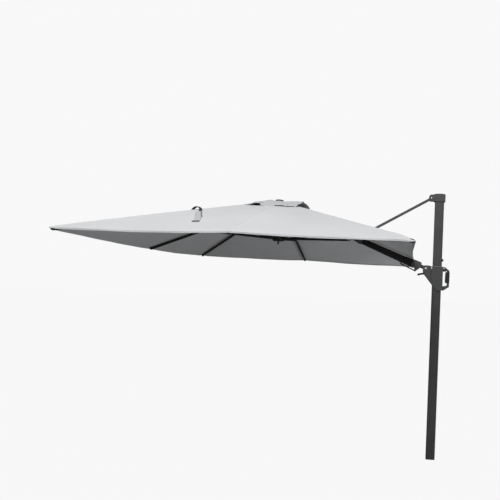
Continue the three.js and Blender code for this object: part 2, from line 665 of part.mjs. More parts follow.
// how far along its rib a stretcher joins it, so that all of them fold to one runner height
function attachDistance(slope) {
  let low = 500;
  let high = 1200;
  while (high - low > 0.01) {
    const middle = (low + high) / 2;
    if (middle + stretcherSpan(slope, middle).length < FOLDED_REACH) low = middle;
    else high = middle;
  }
  return (low + high) / 2;
}

function ribSolid(length) {
  const end = length - RIB.tipInset;
  return join(
    cut(
      barAlongX(34, end, RIB.width, RIB.depth, 4, 1),
      barAlongX(36, end + 1, RIB.width - 2 * RIB.wall, RIB.depth - 2 * RIB.wall, 2, 1),
    ),
    eyePlate(0, 0, 12.5, 35, 10, -6.5, 6.5),
  );
}

// an upward-opening channel with an eye at each end
function stretcherSolid(length) {
  const w = STRETCHER.width / 2;
  const d = STRETCHER.depth / 2;
  return join(
    cut(
      box(14, length - 14, -w, w, -d, d),
      box(13, length - 13, -w + STRETCHER.wall, w - STRETCHER.wall, -d + STRETCHER.wall, d + 1),
    ),
    eyePlate(0, 0, 10, 26, 8, -4.5, 4.5),
    eyePlate(length, 0, 10, length - 26, 8, -4.5, 4.5),
  );
}

function buildRibs() {
  for (const [name, tip] of Object.entries(TIPS)) {
    if (name === 'R') continue;
    const arm = new THREE.Group();
    arm.rotation.z = radians(tip.angle);
    crownFrame.add(arm);
    const { slope, length } = ribLine(name);
    const rib = add(arm, `rib_${name}`, ribSolid(length), blackMetal);
    rib.position.set(CROWN.hingeRadius, 0, CROWN.hingeZ);
    rib.rotation.y = slope;
    const span = stretcherSpan(slope, attachDistance(slope));
    const stretcher = add(arm, `stretcher_${name}`, stretcherSolid(span.length), blackMetal);
    stretcher.position.set(RUNNER.pivotRadius, STRETCHER.offset, RUNNER.pivotZ);
    stretcher.rotation.y = -span.rise;
  }
  const outer = boomPoint(BRACKET.at, -BRACKET.drop);
  const run = outer.x - CROWN.x - RUNNER.pivotRadius;
  const rise = outer.y - RUNNER.pivotZ;
  const length = Math.hypot(run, rise);
  const bored = cut(stretcherSolid(length), boreAlongY(length, 0, PIN.bolt));
  const boomStretcher = add(crownFrame, 'stretcher_R', bored, blackMetal);
  boomStretcher.position.set(RUNNER.pivotRadius, 0, RUNNER.pivotZ);
  boomStretcher.rotation.y = -Math.atan2(rise, run);
}

// ---------------------------------------------------------------- canopy
function boundaryPoint(name, neighbour) {
  const middle = rimPoint(name).lerp(rimPoint(neighbour), 0.5);
  if ([name, neighbour].includes('R')) middle.x -= EDGE_SCOOP;
  return middle;
}

// the part of the canopy that one rib carries, from the vent opening out to the hem
function goreSolid(name) {
  const at = ROUND_THE_RIM.indexOf(name);
  const after = ROUND_THE_RIM[(at + 1) % 8];
  const before = ROUND_THE_RIM[(at + 7) % 8];
  const tip = rimPoint(name);
  const seamClearance = 1;
  const columns = [boundaryPoint(name, before), tip, boundaryPoint(name, after)];
  const apex = new THREE.Vector3(0, 0, CANOPY.apexZ);
  const firstStep = CANOPY.opening / CANOPY.half;
  const down = (p, drop) => new THREE.Vector3(p.x, p.y, p.z - drop);
  const lines = columns.map((rim) => {
    const inwards = tip.clone().sub(rim).setZ(0);
    if (inwards.length() > 0) inwards.setLength(seamClearance);
    const point = (t) => apex.clone().lerp(rim, t).add(inwards);
    const flat = new THREE.Vector3(rim.x, rim.y, 0).setLength(CANOPY.sheet * 1.2);
    const edge = point(1);
    const tucked = edge.clone().sub(flat);
    return {
      outer: [point(firstStep), edge, down(edge, CANOPY.hem)],
      inner: [down(point(firstStep), CANOPY.sheet), down(tucked, CANOPY.sheet), down(tucked, CANOPY.hem)],
    };
  });
  const rows = (side) => [0, 1, 2].map((row) => lines.map((line) => line[side][row]));
  return sheetBetween(rows('outer'), rows('inner'));
}

function buildCanopy() {
  for (const name of ROUND_THE_RIM) {
    let gore = goreSolid(name);
    if (name === 'R') {
      const { from, to, halfWidth } = STRUT_OPENING;
      const edge = rimPoint(name);
      gore = cut(
        gore,
        box(from - CROWN.x, to - CROWN.x, -halfWidth, halfWidth, 2300, 2500),
        box(edge.x - 8, edge.x + 8, -BOOM_NOTCH, BOOM_NOTCH, edge.z - 60, edge.z - CANOPY.sheet - 1),
      );
    }
    add(crownFrame, `canopy_gore_${name}`, gore, fabric);
  }
}

buildMast();
buildCap();
buildCarriage();
buildHandle();
buildLever();
buildKnuckle();
buildBoom();
buildStrut();
buildCrown();
buildVent();
buildRunner();
buildRibs();
buildCanopy();

export default group;
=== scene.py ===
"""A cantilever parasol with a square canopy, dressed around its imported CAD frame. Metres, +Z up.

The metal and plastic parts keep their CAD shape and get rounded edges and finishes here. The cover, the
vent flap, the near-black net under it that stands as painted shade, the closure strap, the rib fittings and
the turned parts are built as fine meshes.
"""

import json
import math

import bpy
import numpy as np
from mathutils import Matrix, Vector


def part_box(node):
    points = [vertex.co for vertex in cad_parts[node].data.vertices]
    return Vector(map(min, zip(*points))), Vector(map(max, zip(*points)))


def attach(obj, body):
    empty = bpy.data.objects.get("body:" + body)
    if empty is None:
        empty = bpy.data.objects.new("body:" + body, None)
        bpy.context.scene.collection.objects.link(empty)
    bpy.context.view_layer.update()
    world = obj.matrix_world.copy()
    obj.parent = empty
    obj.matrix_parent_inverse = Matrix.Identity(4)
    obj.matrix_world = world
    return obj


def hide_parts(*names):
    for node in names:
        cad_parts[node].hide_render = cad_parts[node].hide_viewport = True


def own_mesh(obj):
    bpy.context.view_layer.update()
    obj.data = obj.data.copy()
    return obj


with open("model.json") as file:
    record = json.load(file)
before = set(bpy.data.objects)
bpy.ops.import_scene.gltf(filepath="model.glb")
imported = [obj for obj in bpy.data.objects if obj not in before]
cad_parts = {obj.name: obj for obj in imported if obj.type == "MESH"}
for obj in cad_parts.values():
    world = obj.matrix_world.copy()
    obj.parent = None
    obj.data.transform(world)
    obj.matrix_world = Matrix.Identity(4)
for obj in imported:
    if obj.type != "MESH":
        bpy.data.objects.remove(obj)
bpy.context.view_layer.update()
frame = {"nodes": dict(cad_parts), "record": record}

# ---------------------------------------------------------------- named sizes, in metres
KNOB_LOW, KNOB_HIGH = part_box("runner_knob")
CROWN_X = (KNOB_LOW.x + KNOB_HIGH.x) / 2
HALF = 1.500  # half the side of the plain square that the canopy starts from
APEX_Z = 2.780
RIM_Z = 2.238
OPENING = 0.140  # half the side of the opening under the vent flap
OPENING_SHARE = OPENING / HALF
HEM = 0.018
HEM_FOLD = 0.0034  # the hem is several layers thick
SHEET = 0.0020
FOLD_RADIUS = 0.005  # of the cover's turn from the top into the hem
# upward bend of each rib, and how far the cover hangs at its end, both in the order of TIPS
RIB_BOW = np.array([0.004, 0.000, 0.005, 0.010, 0.005, 0.010, 0.005, 0.000])
CORNER_DROOP = np.array([0, 0.006, 0, 0.002, 0, 0.003, 0, 0.014])
SAG = 0.012
EDGE_SCOOP = {"R": 0.017, "other": 0.004}
SEAM_HALF = 0.010
STITCH_SIDE = 0.006  # from the middle of a seam to its row of stitches
BOOM_NOTCH = 0.034
STRUT_HOLE = {"from": -0.885, "to": -0.790, "half": 0.038}

# each rib's direction from the mast side in degrees, and how far its tip stands above the rim
TIPS = {
    "R": (0, -0.048),
    "C": (43.9, -0.043),
    "F": (90, -0.003),
    "D": (135.8, 0.021),
    "L": (180, -0.021),
    "A": (225, 0.003),
    "N": (270, 0.012),
    "B": (315, -0.014),
}
ROUND = list(TIPS)
# how much further out than the plain square some rib ends pull the cover
TIP_EXTRA = {"R": 0.018, "A": 0.015, "C": 0.083, "D": 0.056}


# ---------------------------------------------------------------- node materials
class Shader:
    """Builds one node material; each call adds a node and returns the socket that matters."""

    def __init__(self, name):
        self.material = bpy.data.materials.new(name)
        self.material.use_nodes = True
        self.tree = self.material.node_tree
        self.tree.nodes.clear()
        self.output = self.node("ShaderNodeOutputMaterial")
        self.surface = self.node("ShaderNodeBsdfPrincipled")
        self.link(self.surface.outputs[0], self.output.inputs["Surface"])
        self.place = self.node("ShaderNodeTexCoord").outputs["Object"]

    def node(self, kind, **settings):
        made = self.tree.nodes.new(kind)
        for key, value in settings.items():
            setattr(made, key, value)
        return made

    def link(self, source, target):
        self.tree.links.new(source, target)

    def put(self, target, value):
        if isinstance(value, bpy.types.NodeSocket):
            self.link(value, target)
        else:
            target.default_value = value

    def stretched(self, scale):
        made = self.node("ShaderNodeMapping")
        made.inputs["Scale"].default_value = scale
        self.link(self.place, made.inputs["Vector"])
        return made.outputs[0]

    def noise(self, scale, detail=2.0, rough=0.5, where=None):
        made = self.node("ShaderNodeTexNoise")
        made.inputs["Scale"].default_value = scale
        made.inputs["Detail"].default_value = detail
        made.inputs["Roughness"].default_value = rough
        self.link(where or self.place, made.inputs["Vector"])
        return made.outputs["Fac"]

    def math(self, operation, a, b=0.0, c=0.0):
        made = self.node("ShaderNodeMath", operation=operation)
        self.put(made.inputs[0], a)
        self.put(made.inputs[1], b)
        self.put(made.inputs[2], c)
        return made.outputs[0]

    def span(self, value, low, high, to_low=0.0, to_high=1.0):
        made = self.node("ShaderNodeMapRange")
        self.put(made.inputs["Value"], value)
        made.inputs["From Min"].default_value = low
        made.inputs["From Max"].default_value = high
        made.inputs["To Min"].default_value = to_low
        made.inputs["To Max"].default_value = to_high
        return made.outputs[0]

    def mix(self, share, a, b):
        made = self.node("ShaderNodeMix", data_type="RGBA")
        self.put(made.inputs[0], share)
        self.put(made.inputs[6], (*a, 1.0) if isinstance(a, tuple) else a)
        self.put(made.inputs[7], (*b, 1.0) if isinstance(b, tuple) else b)
        return made.outputs[2]

    def bump(self, height, strength, distance):
        made = self.node("ShaderNodeBump")
        made.inputs["Strength"].default_value = strength
        made.inputs["Distance"].default_value = distance
        self.put(made.inputs["Height"], height)
        return made.outputs[0]

    def edges(self, radius):
        """1 along convex and concave edges, 0 on open faces."""
        soft = self.node("ShaderNodeBevel", samples=4)
        soft.inputs["Radius"].default_value = radius
        hard = self.node("ShaderNodeNewGeometry")
        dot = self.node("ShaderNodeVectorMath", operation="DOT_PRODUCT")
        self.link(soft.outputs[0], dot.inputs[0])
        self.link(hard.outputs["Normal"], dot.inputs[1])
        return self.span(dot.outputs["Value"], 0.995, 0.86)

    def finish(self, **inputs):
        for key, value in inputs.items():
            self.put(self.surface.inputs[key.replace("_", " ")], value)
        return self.material


def shade(value):
    """A neutral grey with a slight cool cast."""
    return (value * 0.985, value, value * 1.02)


def powder_coat(name, grey, roughness=0.52, grain=0.35):
    s = Shader(name)
    cloud = s.noise(7.0, 3.0)
    speckle = s.noise(900.0, 2.0)
    pebble = s.noise(420.0, 3.0, 0.6)
    base = s.mix(s.span(cloud, 0.35, 0.65), shade(grey * 0.92), shade(grey * 1.08))
    base = s.mix(s.span(speckle, 0.52, 0.75, 0.0, 0.5), base, shade(grey * 1.45))
    # lighter along the edges: wear, and a painted highlight where the edges catch the light
    wear_and_edge_highlight = s.math("MULTIPLY", s.edges(0.0016), s.span(s.noise(60.0, 3.0), 0.35, 0.7, 0.15, 0.7))
    base = s.mix(wear_and_edge_highlight, base, shade(min(1.0, grey * 2.2)))
    rough = s.span(cloud, 0.3, 0.7, roughness - 0.05, roughness + 0.06)
    return s.finish(Base_Color=base, Roughness=rough, Metallic=0.12, Normal=s.bump(pebble, grain, 0.0004))


def casting_finish(name, grey):
    s = Shader(name)
    cloud = s.noise(24.0, 4.0, 0.6)
    sand = s.noise(650.0, 3.0, 0.65)
    base = s.mix(s.span(cloud, 0.3, 0.7), shade(grey * 0.88), shade(grey * 1.12))
    # lighter along the edges: wear, and a painted highlight where the edges catch the light
    wear_and_edge_highlight = s.math("MULTIPLY", s.edges(0.0022), s.span(s.noise(90.0, 2.0), 0.3, 0.7, 0.2, 0.8))
    base = s.mix(wear_and_edge_highlight, base, shade(min(1.0, grey * 2.0)))
    rough = s.span(cloud, 0.3, 0.7, 0.5, 0.64)
    return s.finish(Base_Color=base, Roughness=rough, Metallic=0.15, Normal=s.bump(sand, 0.5, 0.0005))


def moulded_plastic(name, grey, roughness=0.5):
    s = Shader(name)
    leather = s.node("ShaderNodeTexVoronoi", feature="SMOOTH_F1")
    leather.inputs["Scale"].default_value = 520.0
    s.link(s.place, leather.inputs["Vector"])
    cloud = s.noise(30.0, 2.0)
    base = s.mix(s.span(cloud, 0.3, 0.7), shade(grey * 0.9), shade(grey * 1.15))
    # lighter along the edges: wear, and a painted highlight where the edges catch the light
    base = s.mix(s.math("MULTIPLY", s.edges(0.0015), 0.35), base, shade(min(1.0, grey * 3.0)))
    rough = s.span(cloud, 0.3, 0.7, roughness - 0.06, roughness + 0.08)
    return s.finish(Base_Color=base, Roughness=rough, Normal=s.bump(leather.outputs["Distance"], 0.3, 0.0003))


def brushed_steel(name, grey):
    s = Shader(name)
    brushed = s.noise(240.0, 3.0, 0.6, s.stretched((1.0, 0.06, 1.0)))
    base = s.mix(s.span(brushed, 0.3, 0.7), shade(grey * 0.86), shade(grey * 1.06))
    # lighter along the edges: wear, and a painted highlight where the edges catch the light
    base = s.mix(s.math("MULTIPLY", s.edges(0.0012), 0.5), base, shade(min(1.0, grey * 1.3)))
    rough = s.span(brushed, 0.3, 0.7, 0.38, 0.5)
    return s.finish(Base_Color=base, Roughness=rough, Metallic=0.65, Normal=s.bump(brushed, 0.15, 0.0002))


def woven(name, grey, seam_grey=None, threads=0.0011, sheen=0.12, dirt=0.06):
    """Plain weave of spun polyester, with darker stitching where the Sewing map says a seam runs."""
    s = Shader(name)
    split = s.node("ShaderNodeSeparateXYZ")
    s.link(s.place, split.inputs[0])
    turn = math.pi / threads
    warp = s.math("SINE", s.math("MULTIPLY", split.outputs["X"], turn))
    weft = s.math("SINE", s.math("MULTIPLY", split.outputs["Y"], turn))
    weave = s.math("MULTIPLY", warp, weft)
    slub = s.noise(1.0, 3.0, 0.55, s.stretched((260.0, 22.0, 60.0)))
    cloud = s.noise(1.7, 4.0, 0.55)
    mottle = s.noise(38.0, 3.0, 0.6)
    base = s.mix(s.span(cloud, 0.3, 0.7), shade(grey * (1 - dirt)), shade(grey * (1 + dirt * 0.5)))
    base = s.mix(s.span(slub, 0.3, 0.7, 0.0, 0.35), base, shade(grey * 0.88))
    base = s.mix(s.span(mottle, 0.35, 0.75, 0.0, 0.22), base, shade(grey * 1.06))
    base = s.mix(s.span(weave, -1.0, 1.0, 0.14, 0.0), base, shade(grey * 0.7))
    height = s.math("ADD", s.math("MULTIPLY", weave, 0.5), s.math("MULTIPLY", slub, 0.8))
    if seam_grey is not None:
        sewing = s.node("ShaderNodeUVMap", uv_map="Sewing").outputs[0]
        parts = s.node("ShaderNodeSeparateXYZ")
        s.link(sewing, parts.inputs[0])
        along, across = parts.outputs["X"], parts.outputs["Y"]
        dash = s.math("LESS_THAN", s.math("FRACT", s.math("MULTIPLY", along, 1 / 0.0045)), 0.68)
        line = s.math("LESS_THAN", s.math("ABSOLUTE", across), 0.0007)
        stitch = s.math("MULTIPLY", dash, line)
        base = s.mix(s.math("MULTIPLY", stitch, 0.85), base, shade(seam_grey))
        height = s.math("ADD", height, s.math("MULTIPLY", stitch, 2.0))
    normal = s.bump(height, 0.22, 0.0005)
    return s.finish(
        Base_Color=base,
        Roughness=s.span(cloud, 0.3, 0.7, 0.78, 0.9),
        Sheen_Weight=sheen,
        Sheen_Roughness=0.45,
        Specular_IOR_Level=0.25,
        Normal=normal,
    )


def webbing(name, grey, pitch=0.0016):
    """Narrow woven tape with a ribbed face."""
    s = Shader(name)
    split = s.node("ShaderNodeSeparateXYZ")
    s.link(s.place, split.inputs[0])
    diagonal = s.math("ADD", split.outputs["X"], split.outputs["Z"])
    rib = s.math("SINE", s.math("MULTIPLY", diagonal, math.pi / pitch))
    fuzz = s.noise(700.0, 3.0, 0.7)
    base = s.mix(s.span(fuzz, 0.3, 0.7), shade(grey * 0.75), shade(grey * 1.5))
    height = s.math("ADD", rib, s.math("MULTIPLY", fuzz, 1.5))
    return s.finish(Base_Color=base, Roughness=0.85, Sheen_Weight=0.2, Normal=s.bump(height, 0.5, 0.0005))


FINISHES = {
    "anthracite_coat": powder_coat("anthracite_powder_coat", 0.052),
    # near black, darker than a real black coat: the parts on this slot sit under the cover and are darkened
    # as painted shade
    "black_metal": powder_coat("black_powder_coat", 0.004, 0.66),
    "anthracite_casting": casting_finish("anthracite_casting", 0.062),
    "black_plastic": moulded_plastic("black_moulded_plastic", 0.007, 0.55),
    "grey_plastic": moulded_plastic("grey_moulded_plastic", 0.14, 0.5),
    "bright_steel": brushed_steel("brushed_steel", 0.80),
    "canopy_fabric": woven("canopy_weave", 0.60, 0.42),
}


# ---------------------------------------------------------------- mesh helpers
def piece(name, vertices, faces, body, slot, material=None, smooth=True):
    mesh = bpy.data.meshes.new(name)
    mesh.from_pydata([tuple(map(float, v)) for v in vertices], [], [tuple(f) for f in faces])
    mesh.validate()
    mesh.polygons.foreach_set("use_smooth", [smooth] * len(mesh.polygons))
    mesh.materials.append(material or FINISHES[slot])
    obj = bpy.data.objects.new(name, mesh)
    bpy.context.scene.collection.objects.link(obj)
    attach(obj, body)
    return obj


def turned(profile, sides, centre):
    """Vertices and faces of a closed profile of (radius, z) turned about the vertical through centre."""
    vertices, faces = [], []
    first, last = [centre.x, centre.y, profile[0][1]], [centre.x, centre.y, profile[-1][1]]
    rings = profile[1:-1]
    vertices.append(first)
    for radius, z in rings:
        for k in range(sides):
            a = 2 * math.pi * k / sides
            vertices.append([centre.x + radius * math.cos(a), centre.y + radius * math.sin(a), z])
    vertices.append(last)
    top = len(vertices) - 1
    for k in range(sides):
        n = (k + 1) % sides
        faces.append([0, 1 + n, 1 + k])
        for r in range(len(rings) - 1):
            a, b = 1 + r * sides, 1 + (r + 1) * sides
            faces.append([a + k, a + n, b + n, b + k])
        a = 1 + (len(rings) - 1) * sides
        faces.append([a + k, a + n, top])
    return vertices, faces


def softened(obj, width, segments=2, angle=32):
    edge = obj.modifiers.new("rounded_edges", "BEVEL")
    edge.width = width
    edge.segments = segments
    edge.limit_method = "ANGLE"
    edge.angle_limit = math.radians(angle)
    edge.use_clamp_overlap = True
    normals = obj.modifiers.new("even_normals", "WEIGHTED_NORMAL")
    normals.keep_sharp = False
    normals.weight = 60


# ---------------------------------------------------------------- CAD parts that keep their shape
EDGE_WIDTHS = {
    "anthracite_coat": 0.0008,
    "black_metal": 0.0008,
    "anthracite_casting": 0.0022,
    "black_plastic": 0.0016,
    "grey_plastic": 0.0012,
    "bright_steel": 0.0010,
}
SLOTS = {row["node"]: row["material_slot"] for row in frame["record"]["subparts"]}


def dress_cad(name):
    obj = frame["nodes"][name]
    slot = SLOTS[name]
    mesh = obj.data
    mesh.materials.clear()
    mesh.materials.append(FINISHES[slot])
    if "custom_normal" in mesh.attributes:
        mesh.attributes.remove(mesh.attributes["custom_normal"])
    mesh.polygons.foreach_set("use_smooth", [True] * len(mesh.polygons))
    weld = obj.modifiers.new("weld", "WELD")
    weld.merge_threshold = 0.00002
    flat = obj.modifiers.new("flat_faces", "DECIMATE")
    flat.decimate_type = "DISSOLVE"
    flat.angle_limit = math.radians(0.5)
    softened(obj, EDGE_WIDTHS[slot])


SOFT = [n for n, s in SLOTS.items() if s == "canopy_fabric"]
REBUILT = SOFT + ["finial", "runner_knob"]
for node in frame["nodes"]:
    if node not in REBUILT:
        dress_cad(node)


# ---------------------------------------------------------------- the cover's surface
def tip(name):
    angle, lift = TIPS[name]
    a = math.radians(angle)
    reach = HALF / max(abs(math.cos(a)), abs(math.sin(a))) + TIP_EXTRA.get(name, 0)
    return np.array([reach * math.cos(a), reach * math.sin(a), RIM_Z + lift])


TIP_POINTS = np.array([tip(n) for n in ROUND])
# outward direction, in plan, of the edge that each sector ends on: sector k lies between rib k and rib k + 1
SECTOR_OUT = np.array([[1, 0], [0, 1], [0, 1], [-1, 0], [-1, 0], [0, -1], [0, -1], [1, 0]], float)
SECTOR_SCOOP = np.array([EDGE_SCOOP["R" if k in (0, 7) else "other"] for k in range(8)])


def rim_line(u):
    """Plan position, height and outward direction of the rim at u, where rib k lies at u = k."""
    u = np.mod(u, 8.0)
    k = np.floor(u).astype(int) % 8
    f = (u - np.floor(u))[:, None]
    a, b = TIP_POINTS[k], TIP_POINTS[(k + 1) % 8]
    point = a * (1 - f) + b * f
    bow = 4 * f * (1 - f)
    scoop = SECTOR_SCOOP[k][:, None] * bow
    plan = point[:, :2] - SECTOR_OUT[k] * scoop
    # near a corner the outward direction turns from one side to the next
    before = SECTOR_OUT[(k - 1) % 8]
    after = SECTOR_OUT[(k + 1) % 8]
    width = 0.012
    share_before = np.clip(0.5 - f / (2 * width), 0, 0.5)
    share_after = np.clip(0.5 - (1 - f) / (2 * width), 0, 0.5)
    out = SECTOR_OUT[k] * (1 - share_before - share_after) + before * share_before + after * share_after
    out /= np.linalg.norm(out, axis=1)[:, None]
    return plan, point[:, 2], out


def corner_wrinkles(x, y):
    """Fine folds that fan out from each corner, strongest on the mast side."""
    height = np.zeros_like(x)
    for name, count, depth, reach, phase in (
        ("A", 15, 0.0022, 0.40, 0.4),
        ("D", 14, 0.0022, 0.45, 1.9),
        ("B", 13, 0.0032, 0.55, 0.9),
        ("C", 16, 0.0090, 0.95, 2.4),
    ):
        corner = TIP_POINTS[ROUND.index(name)][:2]
        dx, dy = x - corner[0], y - corner[1]
        r = np.hypot(dx, dy)
        aim = math.atan2(-corner[1], -corner[0])
        turn = np.arctan2(dy, dx) - aim
        turn = np.mod(turn + np.pi, 2 * np.pi) - np.pi
        fan = np.sin(count * turn + phase + 0.9 * np.sin(3 * turn)) * (0.6 + 0.4 * np.sin(2.3 * turn + phase))
        height += depth * fan * np.exp(-((r / reach) ** 1.6)) * r / (r + 0.09)
    return height


def drape(x, y, t):
    """Slow unevenness of stretched cloth, fading towards the crown."""
    slow = (
        np.sin(2.1 * x + 0.7 * y + 0.3)
        + 0.7 * np.sin(-1.3 * x + 3.1 * y + 1.7)
        + 0.5 * np.sin(4.7 * x - 2.2 * y + 4.0)
        + 0.35 * np.sin(6.1 * x + 7.3 * y + 2.2)
    )
    return 0.0014 * slow * t


def cover(u, t):
    """Points on the top of the cover, crown-relative in plan. t runs from 0 at the apex to 1 at the rim."""
    plan, rim_z, _ = rim_line(u)
    k = np.floor(np.mod(u, 8.0)).astype(int) % 8
    f = u - np.floor(u)
    between = 4 * f * (1 - f)
    x, y = plan[:, 0] * t, plan[:, 1] * t
    z = APEX_Z + (rim_z - APEX_Z) * t
    bow = RIB_BOW[k] * (1 - f) + RIB_BOW[(k + 1) % 8] * f
    z += bow * 4 * t * (1 - t) * (1 - 0.35 * between)
    near = np.round(u).astype(int) % 8
    past_rib = np.clip((t - 0.90) / 0.10, 0, 1) ** 2
    z -= CORNER_DROOP[near] * past_rib * np.exp(-(((u - np.round(u)) / 0.055) ** 2))
    z -= SAG * between * t * (1.9 - 1.1 * t)
    z += corner_wrinkles(x, y) * np.clip(t * 3, 0, 1) + drape(x, y, t)
    # the flat-felled seam over each rib stands a little proud of the cloth
    nearest = np.where(f < 0.5, f, 1 - f)
    step = np.linalg.norm((TIP_POINTS[(k + 1) % 8] - TIP_POINTS[k])[:, :2], axis=1)
    corner_side = np.where(f < 0.5, k % 2 == 1, k % 2 == 0)
    across = nearest * step * t * np.where(corner_side, math.sqrt(0.5), 1.0)
    ridge = np.clip(1 - (across / SEAM_HALF) ** 4, 0, 1)
    groove = np.exp(-(((across - STITCH_SIDE) / 0.0012) ** 2))
    z += 0.0016 * ridge - 0.0006 * groove
    return np.stack([x, y, z], axis=1)


def hem_depth(u):
    plan, _, _ = rim_line(u)
    at_boom = np.exp(-((plan[:, 1] / BOOM_NOTCH) ** 4)) * (plan[:, 0] > 1.2)
    wave = 0.0012 * np.sin(9.0 * u + 0.6) + 0.0008 * np.sin(23.0 * u + 2.0)
    nearest = np.round(u)
    at_corner = (nearest.astype(int) % 2) * np.exp(-(((u - nearest) / 0.035) ** 2))
    return (HEM + wave) * (1 - 0.62 * at_boom) * (1 - 0.55 * at_corner)


def profile(u, v):
    """Outer and inner points of the cover.

    v runs from 0 to 1 over the top, from 1 to 2 round the fold and from 2 to 3 down the hem.
    """
    t = OPENING_SHARE + (1 - OPENING_SHARE) * np.clip(v, 0, 1)
    outer = cover(u, t)
    plan, _, out = rim_line(u)
    inwards = cover(u, t - 0.004)
    slope = outer - inwards
    slope /= np.linalg.norm(slope, axis=1)[:, None]
    ahead = cover(u + 0.004, t) - cover(u - 0.004, t)
    normal = np.cross(slope, ahead)
    normal /= np.linalg.norm(normal, axis=1)[:, None]
    inner = outer - normal * SHEET
    # over the fold and down the hem
    rim = cover(u, np.ones_like(u))
    turn = np.clip(v - 1, 0, 1)
    down = np.clip(v - 2, 0, 1)
    swing = 0.0015 * np.sin(14.0 * u + 1.1) * down
    flat_out = FOLD_RADIUS * np.sin(turn * math.pi / 2) + swing
    fall = FOLD_RADIUS * (1 - np.cos(turn * math.pi / 2)) + down * (hem_depth(u) - FOLD_RADIUS)
    over = v > 1
    hanging = rim.copy()
    hanging[:, 0] += out[:, 0] * flat_out
    hanging[:, 1] += out[:, 1] * flat_out
    hanging[:, 2] -= fall
    thick = SHEET + (HEM_FOLD - SHEET) * np.clip(turn + down, 0, 1)
    aim = np.zeros_like(outer)
    aim[:, 0] = out[:, 0] * np.sin(turn * math.pi / 2)
    aim[:, 1] = out[:, 1] * np.sin(turn * math.pi / 2)
    aim[:, 2] = np.cos(turn * math.pi / 2)
    tucked = hanging - aim * thick[:, None]
    outer = np.where(over[:, None], hanging, outer)
    inner = np.where(over[:, None], tucked, inner)
    outer[:, 0] += CROWN_X
    inner[:, 0] += CROWN_X
    return outer, inner


def layer_normals(u_grid, v_grid, layer):
    """Smooth normals of one layer of the cover, continuous from gore to gore."""
    flat_u, flat_v = u_grid.ravel(), v_grid.ravel()
    step_u, step_v = 0.003, 0.004
    ahead = profile(flat_u + step_u, flat_v)[layer]
    behind = profile(flat_u - step_u, flat_v)[layer]
    outwards = profile(flat_u, np.minimum(flat_v + step_v, 3.0))[layer]
    inwards = profile(flat_u, np.maximum(flat_v - step_v, 0.0))[layer]
    normal = np.cross(outwards - inwards, ahead - behind)
    length = np.linalg.norm(normal, axis=1)[:, None]
    normal = normal / np.where(length < 1e-12, 1, length)
    return normal if layer == 0 else -normal


def fold_with(obj, index):
    """Ride the rib that carries this part of the cover."""
    name = ROUND[index]
    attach(obj, "boom" if name == "R" else f"rib_{name}")
    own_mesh(obj)


